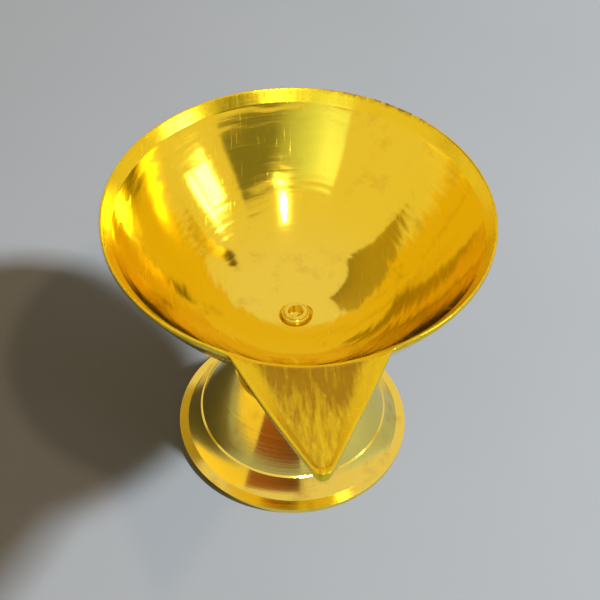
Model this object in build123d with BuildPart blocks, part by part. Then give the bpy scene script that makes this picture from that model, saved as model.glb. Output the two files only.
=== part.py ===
"""Butter lamp: a cast and turned brass cup with a beak spout, on a turned stem and a spun bell foot.

One rivet runs down the axis and holds the cup, the stem and the foot together.  Millimetres, +Z up.
The origin is the centre of the ring that stands on the table, and the spout points along -Y.
"""
import os
from math import asin, atan, cos, degrees, radians, sin, sqrt

from build123d import *

# Cup: driving sizes
rim_diameter = 64.0
rim_land = 0.3
rim_edge = 0.7
lip_width = 1.5
lip_drop = 2.1
cup_depth = 25.3
cup_floor_curve = 26.2
cup_floor_turn = 43.0
cup_wall = 1.0
cup_floor_thickness = 2.0
cup_pad_diameter = 17.0

# Spout: driving sizes
spout_root_width = 24.0
spout_point_reach = 56.8
spout_tip_round = 1.5
spout_corner_round = 2.4
spout_depth = 2.8
spout_rise = 5.0
spout_wall = 1.4
spout_land = 0.4
spout_side = 0.8
spout_middle_share = 0.72
spout_margin_share = 0.6
spout_floor_slope = 0.48
spout_rise_power = 1.7
spout_gusset = 2.5
spout_gusset_length = 9.0

# Stem: driving sizes
stem_height = 11.6
stem_collar_thickness = 0.9
stem_neck_diameter = 10.0
stem_pad_thickness = 0.9
stem_waist_share = 0.55
stem_upper_curve_share = 0.7

# Foot: driving sizes
base_diameter = 43.6
foot_height = 16.4
foot_wall = 1.3
flange_edge = 0.9
flange_width = 1.7
flange_slope = 0.5
band_height = 3.6
band_taper = 2.5
band_hollow = 0.12
step_width = 0.35
step_rise = 0.25
dome_bulge = 0.2
crown_diameter = 21.8

# Rivet and its washer: driving sizes
rivet_diameter = 4.0
rivet_clearance = 0.1
set_head_diameter = 4.8
set_head_height = 0.9
set_head_round = 0.4
dimple_diameter = 2.7
dimple_depth = 1.5
dimple_point_share = 0.2
dimple_floor_share = 0.6
tail_head_diameter = 7.6
tail_head_height = 1.8
tail_flat_share = 0.4
tail_curve_share = 1.2
washer_diameter = 12.0
washer_thickness = 0.8
seat_margin = 0.3

# Sizes that follow from the ones above
rim_radius = rim_diameter / 2
base_radius = base_diameter / 2
crown_radius = crown_diameter / 2
hole_radius = rivet_diameter / 2 + rivet_clearance
pad_radius = cup_pad_diameter / 2
stem_collar_radius = crown_radius - seat_margin
stem_pad_radius = pad_radius - seat_margin
stem_neck_radius = stem_neck_diameter / 2
cup_seat = foot_height + stem_height
cup_floor = cup_seat + cup_floor_thickness
rim_height = cup_floor + cup_depth
lip_bottom_radius = rim_radius - rim_land - lip_width
lip_bottom = rim_height - lip_drop
curve_centre = cup_floor + cup_floor_curve
turn = radians(cup_floor_turn)

# Spout outline, measured outwards from the line that joins its two root corners
root_half = spout_root_width / 2
corner_reach = sqrt(rim_radius**2 - root_half**2)
point_length = spout_point_reach - corner_reach
half_angle = atan(root_half / point_length)
spout_reach = spout_point_reach - spout_tip_round * (1 / sin(half_angle) - 1)
spout_length = spout_reach - corner_reach

# Rounded corner between the rim's circle and the spout's straight edge, and where the tip's round starts
edge_offset = spout_point_reach * sin(half_angle) + spout_corner_round
corner_slide = sqrt((rim_radius + spout_corner_round) ** 2 - edge_offset**2)
corner_x = edge_offset * cos(half_angle) - corner_slide * sin(half_angle)
corner_y = -edge_offset * sin(half_angle) - corner_slide * cos(half_angle)
rim_share = rim_radius / (rim_radius + spout_corner_round)
rim_point = (corner_x * rim_share, corner_y * rim_share)
edge_start = (corner_x - spout_corner_round * cos(half_angle), corner_y + spout_corner_round * sin(half_angle))
chord_x = (rim_point[0] + edge_start[0]) / 2 - corner_x
chord_y = (rim_point[1] + edge_start[1]) / 2 - corner_y
chord_share = spout_corner_round / sqrt(chord_x**2 + chord_y**2)
corner_middle = (corner_x + chord_x * chord_share, corner_y + chord_y * chord_share)
tip_centre = spout_reach - spout_tip_round
edge_end = (spout_tip_round * cos(half_angle), -tip_centre - spout_tip_round * sin(half_angle))


def spout_half_width(along):
    """Half the width over the edges, straight from the root corners to the point."""
    return root_half * (1 - along / point_length)


def spout_top(along):
    """Height of the edges: level with the rim at the root, turned up towards the tip."""
    return rim_height + spout_rise * max(0.0, along / spout_length) ** spout_rise_power


def spout_floor(along):
    """Height of the channel's middle line."""
    share = along / spout_length
    climb = spout_depth + spout_rise - spout_land
    return rim_height - spout_depth + climb * (spout_floor_slope * share + (1 - spout_floor_slope) * share**2)


def spout_keel(along):
    """Height of the underside's middle line, thickened where it runs into the cup."""
    root = max(0.0, 1 - along / spout_gusset_length)
    return spout_floor(along) - spout_wall - spout_gusset * root**2


# Solid of the beak, trimmed to the outline of rim and spout with its rounded corners and tip
with BuildPart() as beak:
    for share in (-0.2, 0.0, 0.18, 0.4, 0.68, 1.02):
        along = share * spout_length
        half = spout_half_width(along)
        top = spout_top(along)
        side = top - spout_side
        wide = half + spout_side + 2 * spout_corner_round * max(0.0, 1 - max(0.0, share) / 0.3)
        with BuildSketch(Plane.XZ.offset(corner_reach + along)):
            with BuildLine():
                Line((-wide, side), (-wide, top))
                Line((-wide, top), (wide, top))
                Line((wide, top), (wide, side))
                Line((wide, side), (half, side))
                ThreePointArc((half, side), (0, spout_keel(along)), (-half, side))
                Line((-half, side), (-wide, side))
            make_face()
    loft()
    with BuildSketch(Plane.XY.offset(cup_floor)) as outline:
        with BuildLine():
            Line((0, 0), rim_point)
            ThreePointArc(rim_point, corner_middle, edge_start)
            Line(edge_start, edge_end)
            ThreePointArc(edge_end, (0, -spout_reach), (-edge_end[0], edge_end[1]))
            Line((-edge_end[0], edge_end[1]), (-edge_start[0], edge_start[1]))
            ThreePointArc(
                (-edge_start[0], edge_start[1]),
                (-corner_middle[0], corner_middle[1]),
                (-rim_point[0], rim_point[1]),
            )
            Line((-rim_point[0], rim_point[1]), (0, 0))
        make_face()
    extrude(amount=cup_depth + 2 * spout_rise, mode=Mode.INTERSECT)

# Cup with its spout
with BuildPart() as bowl:
    # Outside of the cup, solid to the rim, with the pad that stands on the stem
    with BuildSketch(Plane.XZ) as cup_outside:
        with BuildLine():
            outer_curve = cup_floor_curve + cup_wall
            pad_angle = asin(pad_radius / outer_curve)
            pad_top = curve_centre - outer_curve * cos(pad_angle)
            turn_point = (outer_curve * sin(turn), curve_centre - outer_curve * cos(turn))
            Line((0, cup_seat), (pad_radius, cup_seat))
            Line((pad_radius, cup_seat), (pad_radius, pad_top))
            CenterArc((0, curve_centre), outer_curve, degrees(pad_angle) - 90, degrees(turn - pad_angle))
            TangentArc(turn_point, (rim_radius, rim_height - rim_edge), tangent=(cos(turn), sin(turn)))
            Line((rim_radius, rim_height - rim_edge), (rim_radius, rim_height))
            Line((rim_radius, rim_height), (0, rim_height))
            Line((0, rim_height), (0, cup_seat))
        make_face()
    revolve(axis=Axis.Z)
    add(beak.part)

    # Turned inside of the cup, with the bevelled lip
    with BuildSketch(Plane.XZ) as cup_inside:
        with BuildLine():
            turn_inside = (cup_floor_curve * sin(turn), curve_centre - cup_floor_curve * cos(turn))
            lip_foot = (lip_bottom_radius, lip_bottom)
            lip_top = (lip_bottom_radius + 2 * lip_width, lip_bottom + 2 * lip_drop)
            CenterArc((0, curve_centre), cup_floor_curve, -90, cup_floor_turn)
            TangentArc(turn_inside, lip_foot, tangent=(cos(turn), sin(turn)))
            Line(lip_foot, lip_top)
            Line(lip_top, (0, lip_top[1]))
            Line((0, lip_top[1]), (0, cup_floor))
        make_face()
    revolve(axis=Axis.Z, mode=Mode.SUBTRACT)

    # Channel of the spout: shallow hollow middle between two sloping margins
    for share in (-0.2, 0.0, 0.18, 0.4, 0.68, 0.96):
        along = share * spout_length
        half = spout_half_width(along) - spout_land
        top = spout_top(along)
        floor = spout_floor(along)
        margin_half = spout_middle_share * half
        margin_foot = top - spout_margin_share * (top - floor)
        above = top + 2 * spout_rise
        with BuildSketch(Plane.XZ.offset(corner_reach + along)):
            with BuildLine():
                Line((half, above), (-half, above))
                Line((-half, above), (-half, top))
                Line((-half, top), (-margin_half, margin_foot))
                ThreePointArc((-margin_half, margin_foot), (0, floor), (margin_half, margin_foot))
                Line((margin_half, margin_foot), (half, top))
                Line((half, top), (half, above))
            make_face()
    loft(mode=Mode.SUBTRACT)

    # Rivet hole, faced flat for the rivet's set head
    with Locations((0, 0, cup_floor + set_head_height)):
        CounterBoreHole(hole_radius, set_head_diameter / 2 + seat_margin, set_head_height)

# Turned stem between the foot's crown and the cup's pad
with BuildPart() as stem:
    with BuildSketch(Plane.XZ) as stem_section:
        with BuildLine():
            collar_top = foot_height + stem_collar_thickness
            pad_bottom = cup_seat - stem_pad_thickness
            waist = (stem_neck_radius, foot_height + stem_waist_share * stem_height)
            Line((hole_radius, foot_height), (stem_collar_radius, foot_height))
            Line((stem_collar_radius, foot_height), (stem_collar_radius, collar_top))
            RadiusArc((stem_collar_radius, collar_top), waist, stem_height)
            RadiusArc(waist, (stem_pad_radius, pad_bottom), stem_upper_curve_share * stem_height)
            Line((stem_pad_radius, pad_bottom), (stem_pad_radius, cup_seat))
            Line((stem_pad_radius, cup_seat), (hole_radius, cup_seat))
            Line((hole_radius, cup_seat), (hole_radius, foot_height))
        make_face()
    revolve(axis=Axis.Z)

# Spun bell foot, one wall thick, open underneath
with BuildPart() as foot:
    flange_root = base_radius - flange_width
    band_foot = flange_edge + flange_slope
    band_top_radius = flange_root - band_taper
    band_top = band_foot + band_height
    dome_radius = band_top_radius - step_width
    dome_foot = band_top + step_rise
    with BuildSketch(Plane.XZ) as foot_section:
        with BuildLine():
            Line((flange_root - foot_wall, 0), (base_radius, 0))
            Line((base_radius, 0), (base_radius, flange_edge))
            Line((base_radius, flange_edge), (flange_root, band_foot))
            SagittaArc((flange_root, band_foot), (band_top_radius, band_top), band_hollow)
            Line((band_top_radius, band_top), (dome_radius, dome_foot))
            SagittaArc((dome_radius, dome_foot), (crown_radius, foot_height), -dome_bulge)
            Line((crown_radius, foot_height), (hole_radius, foot_height))
            Line((hole_radius, foot_height), (hole_radius, foot_height - foot_wall))
            Line((hole_radius, foot_height - foot_wall), (crown_radius - foot_wall / 2, foot_height - foot_wall))
            SagittaArc(
                (crown_radius - foot_wall / 2, foot_height - foot_wall),
                (dome_radius - foot_wall, dome_foot),
                dome_bulge,
            )
            Line((dome_radius - foot_wall, dome_foot), (band_top_radius - foot_wall, band_top - foot_wall / 2))
            Line((band_top_radius - foot_wall, band_top - foot_wall / 2), (flange_root - foot_wall, 0))
        make_face()
    revolve(axis=Axis.Z)

# Washer under the foot's crown
with BuildPart() as rivet_washer:
    washer_top = foot_height - foot_wall
    with BuildSketch(Plane.XY.offset(washer_top - washer_thickness)) as washer_ring:
        Circle(washer_diameter / 2)
        Circle(hole_radius, mode=Mode.SUBTRACT)
    extrude(amount=washer_thickness)

# Rivet down the axis: tail head under the washer, set head with its punched dimple in the cup
with BuildPart() as rivet:
    with BuildSketch(Plane.XZ) as rivet_section:
        with BuildLine():
            tail_seat = washer_top - washer_thickness
            tail_radius = tail_head_diameter / 2
            shank_radius = rivet_diameter / 2
            set_radius = set_head_diameter / 2
            set_top = cup_floor + set_head_height
            dimple_radius = dimple_diameter / 2
            dimple_floor = (dimple_floor_share * dimple_radius, set_top - (1 - dimple_point_share) * dimple_depth)
            tail_flat = (tail_flat_share * tail_radius, tail_seat - tail_head_height)
            set_round = min(set_head_round, 0.9 * set_head_height, 0.9 * (set_radius - dimple_radius))
            Line((0, tail_flat[1]), tail_flat)
            RadiusArc(tail_flat, (tail_radius, tail_seat), -tail_curve_share * tail_radius)
            Line((tail_radius, tail_seat), (shank_radius, tail_seat))
            Line((shank_radius, tail_seat), (shank_radius, cup_floor))
            Line((shank_radius, cup_floor), (set_radius, cup_floor))
            Line((set_radius, cup_floor), (set_radius, set_top - set_round))
            RadiusArc((set_radius, set_top - set_round), (set_radius - set_round, set_top), set_round)
            Line((set_radius - set_round, set_top), (dimple_radius, set_top))
            Line((dimple_radius, set_top), dimple_floor)
            Line(dimple_floor, (0, set_top - dimple_depth))
            Line((0, set_top - dimple_depth), (0, tail_flat[1]))
        make_face()
    revolve(axis=Axis.Z)

bowl.part.label = "bowl"
stem.part.label = "stem"
foot.part.label = "foot"
rivet.part.label = "rivet"
rivet_washer.part.label = "rivet_washer"

os.makedirs("parts", exist_ok=True)
export_step(bowl.part, "parts/bowl.step")
export_step(stem.part, "parts/stem.step")
export_step(foot.part, "parts/foot.step")
export_step(rivet.part, "parts/rivet.step")
export_step(rivet_washer.part, "parts/rivet_washer.step")
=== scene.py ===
"""Looks of the butter lamp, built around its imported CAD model.

The cup is a thin turned and polished shell with a filed spout, so it is modelled here as one smooth mesh
with worn edges. The stem, foot, rivet and washer keep their CAD shapes and get brass finishes.
Sizes are in millimetres in the CAD frame, +Z up, with the spout along -Y, and become metres in the mesh.
"""

from math import atan, atan2, cos, hypot, pi, radians, sin, sqrt, tan

import bpy
import numpy as np
from mathutils import Matrix, Vector


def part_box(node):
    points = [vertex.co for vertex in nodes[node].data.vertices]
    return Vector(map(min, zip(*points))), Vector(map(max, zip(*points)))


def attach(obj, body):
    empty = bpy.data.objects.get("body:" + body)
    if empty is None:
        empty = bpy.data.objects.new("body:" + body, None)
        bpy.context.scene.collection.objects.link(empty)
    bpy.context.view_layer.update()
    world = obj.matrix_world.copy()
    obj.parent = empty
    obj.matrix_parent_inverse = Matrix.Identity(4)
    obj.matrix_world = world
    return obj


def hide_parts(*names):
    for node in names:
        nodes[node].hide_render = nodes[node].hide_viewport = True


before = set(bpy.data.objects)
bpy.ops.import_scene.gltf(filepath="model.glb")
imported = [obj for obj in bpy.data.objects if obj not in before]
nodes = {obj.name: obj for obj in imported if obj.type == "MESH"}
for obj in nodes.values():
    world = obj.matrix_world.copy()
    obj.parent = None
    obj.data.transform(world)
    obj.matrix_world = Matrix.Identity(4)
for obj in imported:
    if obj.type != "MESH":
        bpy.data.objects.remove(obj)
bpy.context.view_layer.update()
MM = 0.001

# Sizes that the CAD model's boxes give
bowl_low, bowl_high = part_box("bowl")
stem_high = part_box("stem")[1]
rim_radius = min(bowl_high.x, -bowl_low.x, bowl_high.y) / MM
spout_reach = -bowl_low.y / MM
spout_tip_height = bowl_high.z / MM
cup_seat = stem_high.z / MM

# Cup sizes
rim_land = 0.3
rim_edge = 0.7
lip_width = 1.5
lip_drop = 2.1
cup_depth = 25.3
cup_floor_curve = 26.2
cup_floor_turn = radians(43.0)
cup_wall = 1.0
cup_floor_thickness = 2.0
pad_radius = 8.5
pad_edge = 0.15
hole_radius = 2.1
spot_radius = 2.7
lip_carry = 6.0
clear_rise = 9.0

# Spout sizes
spout_root_half = 12.0
spout_point_reach = 56.8
spout_tip_round = 1.5
spout_corner_round = 2.4
spout_depth = 2.8
spout_rise_power = 1.7
spout_floor_slope = 0.48
spout_wall = 1.4
spout_land = 0.4
spout_side = 0.8
spout_middle_share = 0.72
spout_margin_share = 0.6
spout_gusset = 2.5
spout_gusset_length = 9.0
spout_start_share = -0.2
channel_end_share = 0.93
channel_end_slope = 0.8
least_half = 0.3
least_middle_half = 0.5
least_channel_half = 0.05
least_sag = 0.001

# Softness and wear of the cup's edges
edge_round = 0.22
crest_round = 2.4
cast_fillet = 1.0
nick_depth = 0.18
nick_level = 0.6
nick_waves = ((61, 0.0), (97, 1.3), (143, 0.4))
nick_fade = (12.0, 14.0)
worn_from = 140.0
worn_to = 160.0

# Finish of the cup: where filing, the darker spout root, the walls' painted deeper reflection and tarnish
# start and end, and how strong they are
filing_start = 0.7
filing_full = 1.5
filing_inset = 4.0
filing_half = 14.0
lip_filing = 0.6
lip_fade = (-0.1, 0.2)
under_filing = 0.7
under_fade = 1.5
margin_streaks = 0.12
margin_fade = (0.8, 1.05)
under_streaks = 0.3
# The spout's channel is coloured darker in its middle near the root, fading towards the tip.
root_darkening_start = 3.0
root_darkening_end = 17.0
# The walls' deeper yellow is a painted reflection: it stands in for the brass mirrored in them.
deep_reflection_start = 9.0
deep_reflection_full = 22.0
rim_tarnish = 0.2
tarnish_width = 0.9
tarnish_full = 0.1
tarnish_past = 0.5
tarnish_fade = (20.0, 18.0)

# Rings and points of the cup's mesh
plain_share = 0.875
spot_ring_gap = 0.06
pad_ring_gap = 0.05
floor_rings = 60
edge_rings = 80
under_edge_rings = 40
under_rings = 30
spout_points = 141
back_points = 261
spout_turn = radians(30)

# Sizes that follow
cup_floor = cup_seat + cup_floor_thickness
rim_height = cup_floor + cup_depth
clear_height = rim_height + clear_rise
lip_end_radius = rim_radius + lip_carry
spout_rise = spout_tip_height - rim_height
curve_centre = cup_floor + cup_floor_curve
lip_foot_radius = rim_radius - rim_land - lip_width
lip_foot_height = rim_height - lip_drop
corner_reach = sqrt(rim_radius**2 - spout_root_half**2)
point_length = spout_point_reach - corner_reach
half_angle = atan(spout_root_half / point_length)
spout_length = spout_reach - corner_reach
spout_start = spout_start_share * spout_length
plain_radius = plain_share * rim_radius

# Camera: the photograph's view, worked out from the rim's and the foot's ellipses
camera_lens = 72.0
camera_sensor = 36.0
camera_near = 5.0
camera_distance = 209.0
camera_elevation = radians(47.33)
camera_azimuth = radians(-4.7)
camera_roll = radians(2.04)
camera_aim_across = 0.67
camera_aim_height = 33.76


def place_camera():
    """Puts the camera at the photograph's angle, distance and slight roll."""
    across = Vector((cos(camera_azimuth), sin(camera_azimuth), 0))
    away = Vector((-sin(camera_azimuth), cos(camera_azimuth), 0))
    forward = away * cos(camera_elevation) - Vector((0, 0, sin(camera_elevation)))
    level_up = away * sin(camera_elevation) + Vector((0, 0, cos(camera_elevation)))
    right = across * cos(camera_roll) + level_up * sin(camera_roll)
    up = level_up * cos(camera_roll) - across * sin(camera_roll)
    aim = across * camera_aim_across + Vector((0, 0, camera_aim_height))
    place = (aim - forward * camera_distance) * MM
    data = bpy.data.cameras.new("camera")
    data.lens = camera_lens
    data.sensor_width = camera_sensor
    data.clip_start = camera_near * MM
    camera = bpy.data.objects.new("camera", data)
    turn = Matrix((right, up, -forward)).transposed()
    camera.matrix_world = Matrix.Translation(place) @ turn.to_4x4()
    bpy.context.scene.collection.objects.link(camera)
    bpy.context.scene.camera = camera


# Forms of the cup, as heights over a point of its plan


def soft_min(a, b, width):
    """The lower of two heights, with the edge where they meet rounded over that width."""
    blend = np.clip(0.5 + 0.5 * (b - a) / width, 0, 1)
    return b + (a - b) * blend - width * blend * (1 - blend)


def smooth_step(value, low, high):
    """Share from 0 to 1 as a value goes from low to high, eased at both ends."""
    share = np.clip((value - low) / (high - low), 0, 1)
    return share * share * (3 - 2 * share)


def wall_arc(start, end):
    """Centre and radius of the arc that leaves the floor curve smoothly and meets a point of the rim."""
    chord = (end[0] - start[0], end[1] - start[1])
    bend = atan2(chord[1], chord[0]) - cup_floor_turn
    radius = hypot(*chord) / (2 * sin(bend))
    centre = (start[0] - radius * sin(cup_floor_turn), start[1] + radius * cos(cup_floor_turn))
    return centre, radius


def turned_curve(r, offset, end):
    """Height of the cup's turned curve at radius r: a round floor, then a wall that steepens to the rim."""
    curve = cup_floor_curve + offset
    start = (curve * sin(cup_floor_turn), curve_centre - curve * cos(cup_floor_turn))
    centre, radius = wall_arc(start, end)
    floor = curve_centre - np.sqrt(np.maximum(curve**2 - r**2, 0))
    wall = centre[1] - np.sqrt(np.maximum(radius**2 - (r - centre[0]) ** 2, 0))
    return np.where(r < start[0], floor, wall)


def cup_inside(r):
    """Height of the cup's inside, with the bevelled lip carried on past the rim."""
    r = np.minimum(r, lip_end_radius)
    lip = lip_foot_height + (r - lip_foot_radius) * lip_drop / lip_width
    inside = turned_curve(r, 0.0, (lip_foot_radius, lip_foot_height))
    return np.where(r < lip_foot_radius, inside, lip)


def cup_outside(r):
    """Height of the cup's outside."""
    return turned_curve(np.minimum(r, rim_radius), cup_wall, (rim_radius, rim_height - rim_edge))


def spout_half(along):
    """Half the spout's width over its edges."""
    return spout_root_half * (1 - along / point_length)


def spout_top(along):
    """Height of the spout's edges."""
    return rim_height + spout_rise * np.maximum(along / spout_length, 0) ** spout_rise_power


def spout_floor(along):
    """Height of the channel's middle line."""
    share = along / spout_length
    climb = spout_depth + spout_rise - spout_land
    bend = spout_floor_slope * share + (1 - spout_floor_slope) * share**2
    return rim_height - spout_depth + climb * bend


def spout_channel(x, along):
    """Height of the channel: a shallow hollow between two sloping margins, closed before the tip."""
    along = np.maximum(along, spout_start)
    half = np.maximum(spout_half(along) - spout_land, least_channel_half)
    top = spout_top(along)
    floor = spout_floor(along)
    margin_half = spout_middle_share * half
    margin_foot = top - spout_margin_share * (top - floor)
    sag = np.maximum(margin_foot - floor, least_sag)
    curve = (margin_half**2 + sag**2) / (2 * sag)
    inner = np.minimum(abs(x), margin_half)
    hollow = floor + curve - np.sqrt(np.maximum(curve**2 - inner**2, 0))
    margin = margin_foot + (abs(x) - margin_half) * (top - margin_foot) / (half - margin_half)
    runout = np.maximum(along - channel_end_share * spout_length, 0) * channel_end_slope
    return np.where(abs(x) < margin_half, hollow, margin) + runout


def spout_underside(x, along):
    """Height of the spout's underside, thickened where it runs into the cup."""
    root = np.maximum(1 - along / spout_gusset_length, 0)
    keel = spout_floor(along) - spout_wall - spout_gusset * root**2
    half = np.maximum(spout_half(along), least_half)
    sag = spout_top(along) - spout_side - keel
    curve = (half**2 + sag**2) / (2 * sag)
    inner = np.minimum(abs(x), half)
    return keel + curve - np.sqrt(np.maximum(curve**2 - inner**2, 0))


def outline_radius(angle):
    """Distance from the axis to the outline of rim and spout, at an angle from the spout's middle."""
    tiny = 1e-6
    turn = abs(angle)
    across = np.sin(turn)
    out = np.cos(turn)

    # Spout's straight edge
    offset = spout_point_reach * sin(half_angle)
    edge = offset / np.maximum(across * cos(half_angle) + out * sin(half_angle), tiny)

    # Hollow corner between the rim's circle and the spout's edge
    slide = sqrt((rim_radius + spout_corner_round) ** 2 - (offset + spout_corner_round) ** 2)
    corner_x = (offset + spout_corner_round) * cos(half_angle) - slide * sin(half_angle)
    corner_out = (offset + spout_corner_round) * sin(half_angle) + slide * cos(half_angle)
    near = corner_x * across + corner_out * out
    corner_room = near**2 - corner_x**2 - corner_out**2 + spout_corner_round**2
    corner = near - np.sqrt(np.maximum(corner_room, 0))
    rim_turn = atan2(corner_x, corner_out)
    edge_x = corner_x - spout_corner_round * cos(half_angle)
    edge_out = corner_out - spout_corner_round * sin(half_angle)
    edge_turn = atan2(edge_x, edge_out)

    # Rounded tip
    tip_out = spout_reach - spout_tip_round
    tip_room = spout_tip_round**2 - (tip_out * across) ** 2
    tip = tip_out * out + np.sqrt(np.maximum(tip_room, 0))
    tip_turn = atan2(spout_tip_round * cos(half_angle), tip_out + spout_tip_round * sin(half_angle))

    stretches = [turn < tip_turn, turn < edge_turn, turn < rim_turn]
    return np.select(stretches, [tip, edge, corner], rim_radius)


def cup_top_height(x, y):
    """Height of the cup's upper surface: inside, lip, crest and channel, with softened edges."""
    r = np.hypot(x, y)
    along = -y - corner_reach
    top = np.where(r < rim_radius, rim_height, spout_top(along))
    in_channel = (along > spout_start) & (y < 0)
    channel = np.where(in_channel, spout_channel(x, along), clear_height)
    cut = soft_min(cup_inside(r), channel, crest_round)
    return soft_min(cut, top, edge_round)


def cup_under_height(x, y):
    """Height of the cup's outer surface, with the spout's underside run into it by a cast fillet."""
    r = np.hypot(x, y)
    along = -y - corner_reach
    cup = np.where(r < rim_radius, cup_outside(r), clear_height)
    beak = np.where(along > spout_start, spout_underside(x, along), clear_height)
    return soft_min(cup, beak, cast_fillet)


# Mesh of the cup


def smooth_object(name, points, faces):
    """A smooth-shaded mesh object from an array of points in millimetres."""
    mesh = bpy.data.meshes.new(name)
    mesh.from_pydata((points * MM).tolist(), [], faces)
    mesh.polygons.foreach_set("use_smooth", [True] * len(faces))
    mesh.update()
    made = bpy.data.objects.new(name, mesh)
    bpy.context.scene.collection.objects.link(made)
    return made


def rim_wear(angle, fade_before, fade_after):
    """Share of wear along the rim: full at its back right, fading over some degrees on either side."""
    turn = np.degrees(angle)
    rise = smooth_step(turn, worn_from - fade_before, worn_from)
    return rise * (1 - smooth_step(turn, worn_to, worn_to + fade_after))


def rim_nicks(angle):
    """Small dents along the worn part of the rim, as depths: three waves that repeat out of step."""
    ripple = sum(np.sin(count * angle + shift) for count, shift in nick_waves)
    return rim_wear(angle, *nick_fade) * nick_depth * np.clip(ripple - nick_level, 0, 1)


def cup_rings(angle):
    """Rings of points over the inside, round the edge and back underneath, and how many lie on top."""
    across = np.sin(angle)
    out = -np.cos(angle)
    edge = outline_radius(angle) - edge_round
    rings = []

    def add_ring(radius, height):
        """Adds a ring at a radius for each angle, at a height worked out from the plan."""
        x = radius * across
        y = radius * out
        z = np.broadcast_to(height(x, y), x.shape)
        rings.append(np.stack([x, y, z], axis=1))

    for radius in (hole_radius, spot_radius):
        add_ring(radius, lambda x, y: cup_floor)
    for radius in np.linspace(spot_radius + spot_ring_gap, plain_radius, floor_rings):
        add_ring(radius, cup_top_height)
    for share in np.linspace(0, 1, edge_rings + 1)[1:]:
        add_ring(plain_radius + (edge - plain_radius) * share, cup_top_height)
    edge_top = rings[-1][:, 2] - rim_nicks(angle)
    rings[-1][:, 2] = edge_top
    for turn in (pi / 6, pi / 3, pi / 2):
        drop = edge_round * (1 - cos(turn))
        add_ring(edge + edge_round * sin(turn), lambda x, y: edge_top - drop)
    top_count = len(rings)

    edge_under = cup_under_height(edge * across, edge * out)
    for turn in (pi / 2, pi / 3, pi / 6):
        lift = edge_round * (1 - cos(turn))
        add_ring(edge + edge_round * sin(turn), lambda x, y: edge_under + lift)
    for share in np.linspace(0, 1, under_edge_rings + 1):
        add_ring(edge + (plain_radius - edge) * share, cup_under_height)
    for radius in np.linspace(plain_radius, pad_radius + pad_ring_gap, under_rings + 1)[1:]:
        add_ring(radius, cup_under_height)
    add_ring(pad_radius, lambda x, y: cup_seat + pad_edge)
    for radius in (pad_radius - pad_edge, hole_radius):
        add_ring(radius, lambda x, y: cup_seat)
    return rings, top_count


def ring_faces(ring_count, count):
    """Quads between neighbouring rings, closed round the axis and through the rivet hole."""
    faces = []
    for j in range(ring_count):
        here = j * count
        there = (j + 1) % ring_count * count
        for i in range(count):
            after = (i + 1) % count
            faces.append((here + i, there + i, there + after, here + after))
    return faces


def mark_cup(cup, points, on_top):
    """Stores where the cup is filed, streaked, darker at the spout's root, painted deeper for the brass
    mirrored in its walls, and tarnished, for its brass.
    """
    x, y = points[:, 0], points[:, 1]
    r = np.hypot(x, y)
    along = -y - corner_reach
    room = cup_inside(r) - spout_channel(x, along)
    near_spout = (along > -filing_inset) & (abs(x) < filing_half)
    in_channel = smooth_step(room, filing_start, filing_full) * near_spout
    middle_half = np.maximum(spout_middle_share * spout_half(along), least_middle_half)
    middle = 1 - smooth_step(abs(x) / middle_half, *margin_fade)
    root = 1 - smooth_step(along, root_darkening_start, root_darkening_end)
    lip = smooth_step(r - lip_foot_radius, *lip_fade)
    beak = smooth_step(r - rim_radius, 0, under_fade)
    wear = rim_tarnish + (1 - rim_tarnish) * rim_wear(np.arctan2(x, -y), *tarnish_fade)
    on_rim = r < rim_radius + tarnish_past
    near_edge = smooth_step(r - rim_radius, -tarnish_width, -tarnish_full) * on_rim
    streaks = margin_streaks + (1 - margin_streaks) * middle
    masks = {
        "filed": np.where(on_top, np.maximum(in_channel, lip_filing * lip), under_filing * beak),
        "streaked": np.where(on_top, in_channel * streaks, under_streaks * beak),
        # Darker in the channel's middle near the root, fading towards the tip.
        "darker_spout_root": np.where(on_top, in_channel * middle * root, 0),
        # Painted reflection: deeper colour from the floor out to the walls.
        "painted_deep_reflection": smooth_step(r, deep_reflection_start, deep_reflection_full),
        "tarnished": wear * near_edge,
    }
    for name, values in masks.items():
        attribute = cup.data.attributes.new(name, "FLOAT", "POINT")
        attribute.data.foreach_set("value", values.astype(np.float32))


def build_cup():
    """The cup and its spout as one closed shell of rings."""
    front = np.linspace(-spout_turn, spout_turn, spout_points)
    back = np.linspace(spout_turn, 2 * pi - spout_turn, back_points)[1:-1]
    angle = np.concatenate([front, back])
    angle = np.where(angle > pi, angle - 2 * pi, angle)
    rings, top_count = cup_rings(angle)
    points = np.concatenate(rings)
    cup = smooth_object("cup", points, ring_faces(len(rings), len(angle)))
    mark_cup(cup, points, np.arange(len(points)) < top_count * len(angle))
    cup.data.materials.append(cup_brass())
    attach(cup, "root")
    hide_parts("bowl")


# Materials


def linear(hex_colour):
    """An sRGB hex colour as linear RGBA."""
    channels = [int(hex_colour[i : i + 2], 16) / 255 for i in (1, 3, 5)]
    return [c / 12.92 if c <= 0.04045 else ((c + 0.055) / 1.055) ** 2.4 for c in channels] + [1.0]


def add_node(tree, kind, inputs=None, **settings):
    """Adds a node with its settings, and fills its inputs with values or with links from other nodes."""
    made = tree.nodes.new(kind)
    for name, value in settings.items():
        setattr(made, name, value)
    for name, value in (inputs or {}).items():
        if isinstance(value, bpy.types.NodeSocket):
            tree.links.new(value, made.inputs[name])
        else:
            made.inputs[name].default_value = value
    return made


def new_material(name):
    """An empty node material and its tree."""
    material = bpy.data.materials.new(name)
    material.use_nodes = True
    material.node_tree.nodes.clear()
    return material, material.node_tree


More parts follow.
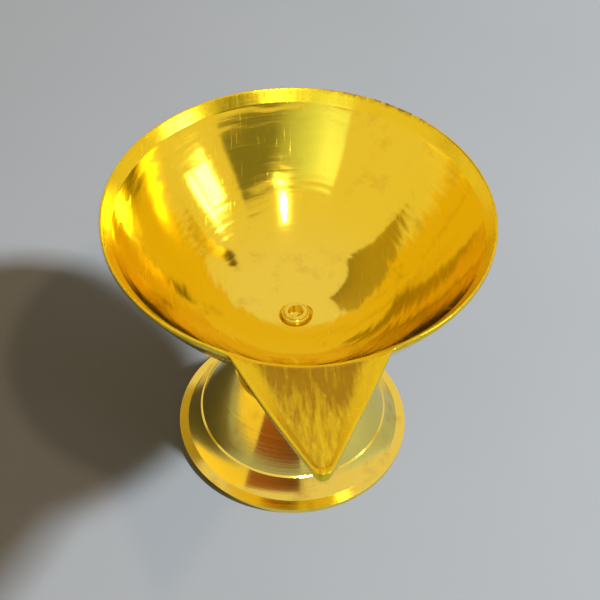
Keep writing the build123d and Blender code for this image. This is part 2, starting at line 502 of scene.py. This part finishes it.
def lathe_marks(tree, ring_spacing, stain_size):
    """What all the brass shares: the place in millimetres, rings about the axis, and soft stains.

    Rings follow the distance along the profile, for which height counts a little more than radius.
    They are drawn coarser than a real tool's marks so that they show.
    """
    height_share = 1.3
    place = add_node(tree, "ShaderNodeTexCoord").outputs["Object"]
    in_mm = add_node(
        tree, "ShaderNodeVectorMath", {0: place, "Scale": 1 / MM}, operation="SCALE"
    ).outputs[0]
    flat = add_node(
        tree, "ShaderNodeVectorMath", {0: in_mm, 1: (1, 1, 0)}, operation="MULTIPLY"
    ).outputs[0]
    radius = add_node(tree, "ShaderNodeVectorMath", {0: flat}, operation="LENGTH").outputs["Value"]
    height = add_node(tree, "ShaderNodeSeparateXYZ", {0: in_mm}).outputs["Z"]
    reach = add_node(
        tree, "ShaderNodeMath", {0: height, 1: height_share, 2: radius}, operation="MULTIPLY_ADD"
    ).outputs[0]
    rings = add_node(
        tree,
        "ShaderNodeTexNoise",
        {"W": reach, "Scale": 1 / ring_spacing, "Detail": 4.0, "Roughness": 0.65},
        noise_dimensions="1D",
    ).outputs["Fac"]
    clouds = add_node(
        tree,
        "ShaderNodeTexNoise",
        {"Vector": in_mm, "Scale": 1 / stain_size, "Detail": 6.0, "Roughness": 0.62},
    ).outputs["Fac"]
    stain = add_node(
        tree,
        "ShaderNodeMapRange",
        {"Value": clouds, "From Min": 0.54, "From Max": 0.76},
        interpolation_type="SMOOTHSTEP",
    ).outputs[0]
    return in_mm, reach, rings, stain


def file_strokes(tree, in_mm):
    """Strokes of the file along the spout, drawn coarser than a real file's so that they show."""
    stroke_width = 0.7
    stroke_length = 5.0
    stretch = (1 / stroke_width, 1 / stroke_length, 1 / stroke_length)
    along_spout = add_node(
        tree, "ShaderNodeVectorMath", {0: in_mm, 1: stretch}, operation="MULTIPLY"
    ).outputs[0]
    return add_node(
        tree,
        "ShaderNodeTexNoise",
        {"Vector": along_spout, "Scale": 1.0, "Detail": 6.0, "Roughness": 0.6, "Distortion": 0.3},
    ).outputs["Fac"]


def hair_scratches(tree, in_mm):
    """Two sets of hair scratches from wiping, drawn wider than real ones so that they show."""
    hair_width = 0.3
    hair_length = 6.0
    hair_turns = (52, -28)
    hair_tilt = (0.3, 0.2)
    stretch = (1 / hair_width, 1 / hair_length, 1 / hair_length)
    scratch = 0.0
    for turn in hair_turns:
        slant = (*hair_tilt, radians(turn))
        turned = add_node(
            tree, "ShaderNodeMapping", {"Vector": in_mm, "Rotation": slant, "Scale": stretch}
        ).outputs[0]
        hairs = add_node(
            tree, "ShaderNodeTexNoise", {"Vector": turned, "Scale": 1.0, "Detail": 2.0, "Distortion": 0.3}
        ).outputs["Fac"]
        cut = add_node(
            tree, "ShaderNodeMapRange", {"Value": hairs, "From Min": 0.67, "From Max": 0.75}
        ).outputs[0]
        scratch = add_node(tree, "ShaderNodeMath", {0: cut, 1: scratch}, operation="MAXIMUM").outputs[0]
    return scratch


def rim_flakes(tree, in_mm, tarnished):
    """Flakes of brown tarnish along the rim."""
    flake_size = 1.3
    clouds = add_node(
        tree,
        "ShaderNodeTexNoise",
        {"Vector": in_mm, "Scale": 1 / flake_size, "Detail": 5.0, "Roughness": 0.65},
    ).outputs["Fac"]
    flakes = add_node(
        tree, "ShaderNodeMapRange", {"Value": clouds, "From Min": 0.42, "From Max": 0.62}
    ).outputs[0]
    return add_node(tree, "ShaderNodeMath", {0: flakes, 1: tarnished}, operation="MULTIPLY").outputs[0]


def cup_colour(tree, stain, strokes, flaked, marks):
    """Colour of the cup: pale floor, walls painted a deeper yellow as a painted reflection of the brass
    mirrored in them, brown stains, a streaked spout darker at its root, and a flaked rim.
    """
    stain_strength = 0.5
    root_darkening_strength = 0.65
    streak_tone = add_node(
        tree,
        "ShaderNodeMapRange",
        {"Value": strokes, "From Min": 0.36, "From Max": 0.64, "To Min": 0.7, "To Max": 0.0},
    ).outputs[0]
    streak = add_node(
        tree, "ShaderNodeMath", {0: streak_tone, 1: marks["streaked"]}, operation="MULTIPLY"
    ).outputs[0]
    # Darker in the channel's middle near the root, plus the file streaks.
    spout_darkness = add_node(
        tree,
        "ShaderNodeMath",
        {0: marks["darker_spout_root"], 1: root_darkening_strength, 2: streak},
        operation="MULTIPLY_ADD",
        use_clamp=True,
    ).outputs[0]
    spout = add_node(
        tree, "ShaderNodeMix", {0: spout_darkness, 6: linear("#f6dc28"), 7: linear("#b48f1c")}, data_type="RGBA"
    ).outputs[2]
    # Painted reflection: the walls get a deeper yellow than the floor, for the brass mirrored in them.
    clean = add_node(
        tree,
        "ShaderNodeMix",
        {0: marks["painted_deep_reflection"], 6: linear("#f9e55f"), 7: linear("#f8df40")},
        data_type="RGBA",
    ).outputs[2]
    stain_share = add_node(
        tree, "ShaderNodeMath", {0: stain, 1: stain_strength}, operation="MULTIPLY"
    ).outputs[0]
    cup = add_node(
        tree, "ShaderNodeMix", {0: stain_share, 6: clean, 7: linear("#c9a23a")}, data_type="RGBA"
    ).outputs[2]
    colour = add_node(
        tree, "ShaderNodeMix", {0: marks["filed"], 6: cup, 7: spout}, data_type="RGBA"
    ).outputs[2]
    return add_node(
        tree, "ShaderNodeMix", {0: flaked, 6: colour, 7: linear("#80602a")}, data_type="RGBA"
    ).outputs[2]


def cup_gloss(tree, rings, stain, scratch, strokes, flaked, marks):
    """Roughness of the cup: low where polished, higher on stains, scratches, filing and flakes."""
    stain_dulling = 0.10
    scratch_dulling = 0.16
    flake_dulling = 0.35
    polished = add_node(
        tree,
        "ShaderNodeMapRange",
        {"Value": rings, "From Min": 0.35, "From Max": 0.65, "To Min": 0.07, "To Max": 0.13},
    ).outputs[0]
    stained = add_node(
        tree, "ShaderNodeMath", {0: stain, 1: stain_dulling, 2: polished}, operation="MULTIPLY_ADD"
    ).outputs[0]
    scratched = add_node(
        tree, "ShaderNodeMath", {0: scratch, 1: scratch_dulling, 2: stained}, operation="MULTIPLY_ADD"
    ).outputs[0]
    spout = add_node(
        tree,
        "ShaderNodeMapRange",
        {"Value": strokes, "From Min": 0.35, "From Max": 0.65, "To Min": 0.36, "To Max": 0.24},
    ).outputs[0]
    gloss = add_node(
        tree, "ShaderNodeMix", {0: marks["filed"], 2: scratched, 3: spout}, data_type="FLOAT"
    ).outputs[0]
    return add_node(
        tree, "ShaderNodeMath", {0: flaked, 1: flake_dulling, 2: gloss}, operation="MULTIPLY_ADD"
    ).outputs[0]


def cup_relief(tree, in_mm, reach, rings, scratch, strokes, marks):
    """Fine relief of the cup: unevenness, ripples and rings from turning, scratches and file strokes."""
    wave_size = 9.0
    wave_depth = 0.12
    ripple_size = 4.0
    ripple_drift = 6.0
    ripple_depth = 0.05
    ring_depth = 0.004
    scratch_depth = 0.003
    stroke_depth = 0.06
    unfiled = add_node(tree, "ShaderNodeMath", {0: 1.0, 1: marks["filed"]}, operation="SUBTRACT").outputs[0]
    waves = add_node(
        tree, "ShaderNodeTexNoise", {"Vector": in_mm, "Scale": 1 / wave_size, "Detail": 1.0}
    ).outputs["Fac"]
    drift = add_node(
        tree, "ShaderNodeMath", {0: waves, 1: ripple_drift, 2: reach}, operation="MULTIPLY_ADD"
    ).outputs[0]
    ripples = add_node(
        tree,
        "ShaderNodeTexNoise",
        {"W": drift, "Scale": 1 / ripple_size, "Detail": 1.0},
        noise_dimensions="1D",
    ).outputs["Fac"]
    wavy = add_node(tree, "ShaderNodeBump", {"Height": waves, "Distance": wave_depth * MM}).outputs[0]
    rippled = add_node(
        tree,
        "ShaderNodeBump",
        {"Height": ripples, "Distance": ripple_depth * MM, "Strength": unfiled, "Normal": wavy},
    ).outputs[0]
    ringed = add_node(
        tree,
        "ShaderNodeBump",
        {"Height": rings, "Distance": ring_depth * MM, "Strength": unfiled, "Normal": rippled},
    ).outputs[0]
    scratched = add_node(
        tree,
        "ShaderNodeBump",
        {"Height": scratch, "Distance": scratch_depth * MM, "Strength": unfiled, "Normal": ringed},
        invert=True,
    ).outputs[0]
    return add_node(
        tree,
        "ShaderNodeBump",
        {
            "Height": strokes,
            "Distance": stroke_depth * MM,
            "Strength": marks["streaked"],
            "Normal": scratched,
        },
    ).outputs[0]


def cup_brass():
    """Cast brass, turned and polished inside, with a filed lip and spout.

    To the eye: a deep yellow mirror with fine rings about the axis, hair scratches and a few brown stains.
    The lip and spout are duller, with streaks along the spout, and the rim's back edge is flaked brown.
    """
    material, tree = new_material("turned_polished_brass")
    in_mm, reach, rings, stain = lathe_marks(tree, ring_spacing=0.6, stain_size=7.0)
    marks = {}
    for name in ("filed", "streaked", "darker_spout_root", "painted_deep_reflection", "tarnished"):
        marks[name] = add_node(tree, "ShaderNodeAttribute", attribute_name=name).outputs["Fac"]
    strokes = file_strokes(tree, in_mm)
    scratch = hair_scratches(tree, in_mm)
    flaked = rim_flakes(tree, in_mm, marks["tarnished"])
    round_axis = add_node(tree, "ShaderNodeTangent", direction_type="RADIAL", axis="Z").outputs[0]
    shader = add_node(
        tree,
        "ShaderNodeBsdfPrincipled",
        {
            "Base Color": cup_colour(tree, stain, strokes, flaked, marks),
            "Metallic": 1.0,
            "Roughness": cup_gloss(tree, rings, stain, scratch, strokes, flaked, marks),
            "Anisotropic": 0.55,
            "Anisotropic Rotation": 0.25,
            "Tangent": round_axis,
            "Normal": cup_relief(tree, in_mm, reach, rings, scratch, strokes, marks),
        },
    )
    add_node(tree, "ShaderNodeOutputMaterial", {"Surface": shader.outputs[0]})
    return material


def lathe_brass(name, clean, stained, stain_strength, roughness, ring_spacing, ring_depth, stain_size):
    """Brass shaped on a lathe and little polished after.

    To the eye: a pale yellow mirror, softened by rings about the axis and by duller brown stains.
    ring_spacing, ring_depth and stain_size are in millimetres.
    """
    stain_dulling = 0.15
    bright_ring = 0.8
    dull_ring = 1.3
    material, tree = new_material(name)
    rings, stain = lathe_marks(tree, ring_spacing, stain_size)[2:]
    share = add_node(tree, "ShaderNodeMath", {0: stain, 1: stain_strength}, operation="MULTIPLY").outputs[0]
    colour = add_node(
        tree, "ShaderNodeMix", {0: share, 6: linear(clean), 7: linear(stained)}, data_type="RGBA"
    ).outputs[2]
    ring_gloss = add_node(
        tree,
        "ShaderNodeMapRange",
        {
            "Value": rings,
            "From Min": 0.35,
            "From Max": 0.65,
            "To Min": bright_ring * roughness,
            "To Max": dull_ring * roughness,
        },
    ).outputs[0]
    gloss = add_node(
        tree, "ShaderNodeMath", {0: share, 1: stain_dulling, 2: ring_gloss}, operation="MULTIPLY_ADD"
    ).outputs[0]
    ringed = add_node(tree, "ShaderNodeBump", {"Height": rings, "Distance": ring_depth * MM}).outputs[0]
    shader = add_node(
        tree,
        "ShaderNodeBsdfPrincipled",
        {"Base Color": colour, "Metallic": 1.0, "Roughness": gloss, "Normal": ringed},
    )
    add_node(tree, "ShaderNodeOutputMaterial", {"Surface": shader.outputs[0]})
    return material


def spun_foot_brass():
    """Brass of the foot, spun from sheet: the palest, with broad stains."""
    return lathe_brass(
        "spun_brass",
        clean="#f7e574",
        stained="#c09a42",
        stain_strength=0.5,
        roughness=0.13,
        ring_spacing=0.4,
        ring_depth=0.006,
        stain_size=6.0,
    )


def turned_stem_brass():
    """Brass of the stem, turned from bar: duller, with the widest rings."""
    return lathe_brass(
        "turned_brass",
        clean="#f1db60",
        stained="#9a7630",
        stain_strength=0.6,
        roughness=0.2,
        ring_spacing=0.5,
        ring_depth=0.008,
        stain_size=4.0,
    )


def peened_rivet_brass():
    """Brass of the rivet and its washer, as set by the hammer: small dark stains."""
    return lathe_brass(
        "peened_brass",
        clean="#f5df5e",
        stained="#9a7630",
        stain_strength=0.6,
        roughness=0.16,
        ring_spacing=0.4,
        ring_depth=0.006,
        stain_size=1.6,
    )


def finish_cad_nodes():
    """Gives the stem, foot, rivet and washer their brass."""
    rivet_brass = peened_rivet_brass()
    finishes = {
        "foot": spun_foot_brass(),
        "stem": turned_stem_brass(),
        "rivet": rivet_brass,
        "rivet_washer": rivet_brass,
    }
    for name, finish in finishes.items():
        nodes[name].data.materials.clear()
        nodes[name].data.materials.append(finish)


# Studio: flags and lights are set about a point in the cup
cup_middle = 42.0
light_distance = 900.0
table_half = 3000.0


def painted_table():
    """Grey painted table top: smooth and matt, with faint unevenness in the paint."""
    patch_size = 71.4
    material, tree = new_material("painted_board")
    place = add_node(tree, "ShaderNodeTexCoord").outputs["Object"]
    patches = add_node(
        tree, "ShaderNodeTexNoise", {"Vector": place, "Scale": 1 / (patch_size * MM), "Detail": 4.0}
    ).outputs["Fac"]
    colour = add_node(
        tree, "ShaderNodeMix", {0: patches, 6: linear("#525355"), 7: linear("#57585a")}, data_type="RGBA"
    ).outputs[2]
    shader = add_node(
        tree, "ShaderNodeBsdfPrincipled", {"Base Color": colour, "Roughness": 0.7, "Specular IOR Level": 0.2}
    )
    add_node(tree, "ShaderNodeOutputMaterial", {"Surface": shader.outputs[0]})
    return material


def flag_cloth(name, dark, pale):
    """Matt woven cloth of the studio flags, dyed a little unevenly. Its threads are too fine to draw."""
    patch_size = 83.3
    material, tree = new_material(name)
    place = add_node(tree, "ShaderNodeTexCoord").outputs["Object"]
    patches = add_node(
        tree, "ShaderNodeTexNoise", {"Vector": place, "Scale": 1 / (patch_size * MM), "Detail": 3.0}
    ).outputs["Fac"]
    colour = add_node(
        tree, "ShaderNodeMix", {0: patches, 6: linear(dark), 7: linear(pale)}, data_type="RGBA"
    ).outputs[2]
    shader = add_node(tree, "ShaderNodeBsdfPrincipled", {"Base Color": colour, "Roughness": 0.9})
    add_node(tree, "ShaderNodeOutputMaterial", {"Surface": shader.outputs[0]})
    return material


def build_table():
    """The plain table that the lamp stands on."""
    corners = [(-1, -1, 0), (1, -1, 0), (1, 1, 0), (-1, 1, 0)]
    table = smooth_object("table", table_half * np.array(corners), [(0, 1, 2, 3)])
    table.data.materials.append(painted_table())


def view_direction(azimuth, elevation):
    """Direction from the lamp: azimuth in degrees from straight behind it, turning right, and elevation."""
    turn = radians(azimuth) - camera_azimuth
    rise = radians(elevation)
    return Vector((sin(turn) * cos(rise), cos(turn) * cos(rise), sin(rise)))


def build_flag(name, cloth, distance, azimuth, spread, low, high):
    """An upright cloth that the brass mirrors, over a spread of azimuth and between two elevations."""
    panels = 8
    points = []
    for elevation in (low, high):
        for share in np.linspace(-0.5, 0.5, panels + 1):
            way = view_direction(azimuth + share * spread, 0) * distance
            points.append((way.x, way.y, cup_middle + distance * tan(radians(elevation))))
    faces = [(i, i + 1, i + panels + 2, i + panels + 1) for i in range(panels)]
    flag = smooth_object(name, np.array(points), faces)
    flag.data.materials.append(cloth)
    flag.visible_camera = False
    flag.visible_shadow = False


def build_flags():
    """Flags that give the brass its olive, brown and yellow patches."""
    grey = flag_cloth("woven_grey_cloth", "#94979d", "#a9acb1")
    rust = flag_cloth("woven_rust_cloth", "#55270a", "#61300e")
    yellow = flag_cloth("woven_yellow_cloth", "#8d7428", "#9c8232")
    brown = flag_cloth("woven_brown_cloth", "#69551f", "#7a6428")
    build_flag("flag_back_left", brown, distance=700, azimuth=-63, spread=60, low=22, high=55)
    build_flag("flag_front", grey, distance=260, azimuth=168, spread=84, low=21, high=42)
    build_flag("flag_right", brown, distance=700, azimuth=79, spread=11, low=20, high=48)
    build_flag("flag_low", rust, distance=260, azimuth=195, spread=50, low=-9, high=7)
    build_flag("flag_low_left", yellow, distance=260, azimuth=254, spread=66, low=-9, high=8)


def add_light(name, colour, power, azimuth, elevation, width, height):
    """A rectangular studio light aimed at the cup, with its sizes in millimetres and its power in watts."""
    data = bpy.data.lights.new(name, "AREA")
    data.shape = "RECTANGLE"
    data.size = width * MM
    data.size_y = height * MM
    data.energy = power
    data.color = linear(colour)[:3]
    light = bpy.data.objects.new(name, data)
    towards = view_direction(azimuth, elevation)
    light.location = (towards * light_distance + Vector((0, 0, cup_middle))) * MM
    light.rotation_euler = towards.to_track_quat("Z", "Y").to_euler()
    bpy.context.scene.collection.objects.link(light)
    return light


def build_lights():
    """A warm lamp and window light for the table, and two panes and a small bulb for the brass to mirror."""
    lamp = add_light("warm_lamp", "#ffd7b1", power=4.4, azimuth=126, elevation=62, width=55, height=55)
    lamp.visible_glossy = False
    window = add_light("window_light", "#edf8ff", power=50, azimuth=96, elevation=44, width=90, height=90)
    window.visible_glossy = False
    add_light("window_left", "#f4f8ff", power=0.45, azimuth=98, elevation=26, width=75, height=190)
    add_light("window_right", "#f4f8ff", power=0.9, azimuth=107.5, elevation=26, width=150, height=190)
    bulb = add_light("bulb", "#fff6e4", power=2.6, azimuth=163, elevation=49, width=20, height=20)
    bulb.visible_diffuse = False


def build_surround():
    """Even warm light from all round, so that no side of the brass mirrors black."""
    world = bpy.data.worlds.new("surround")
    bpy.context.scene.world = world
    world.use_nodes = True
    tree = world.node_tree
    tree.nodes.clear()
    sky = add_node(tree, "ShaderNodeBackground", {"Color": linear("#edd8b3"), "Strength": 1.0})
    add_node(tree, "ShaderNodeOutputWorld", {"Surface": sky.outputs[0]})


place_camera()
build_cup()
finish_cad_nodes()
build_table()
build_flags()
build_lights()
build_surround()
bpy.context.scene.view_settings.view_transform = "Standard"
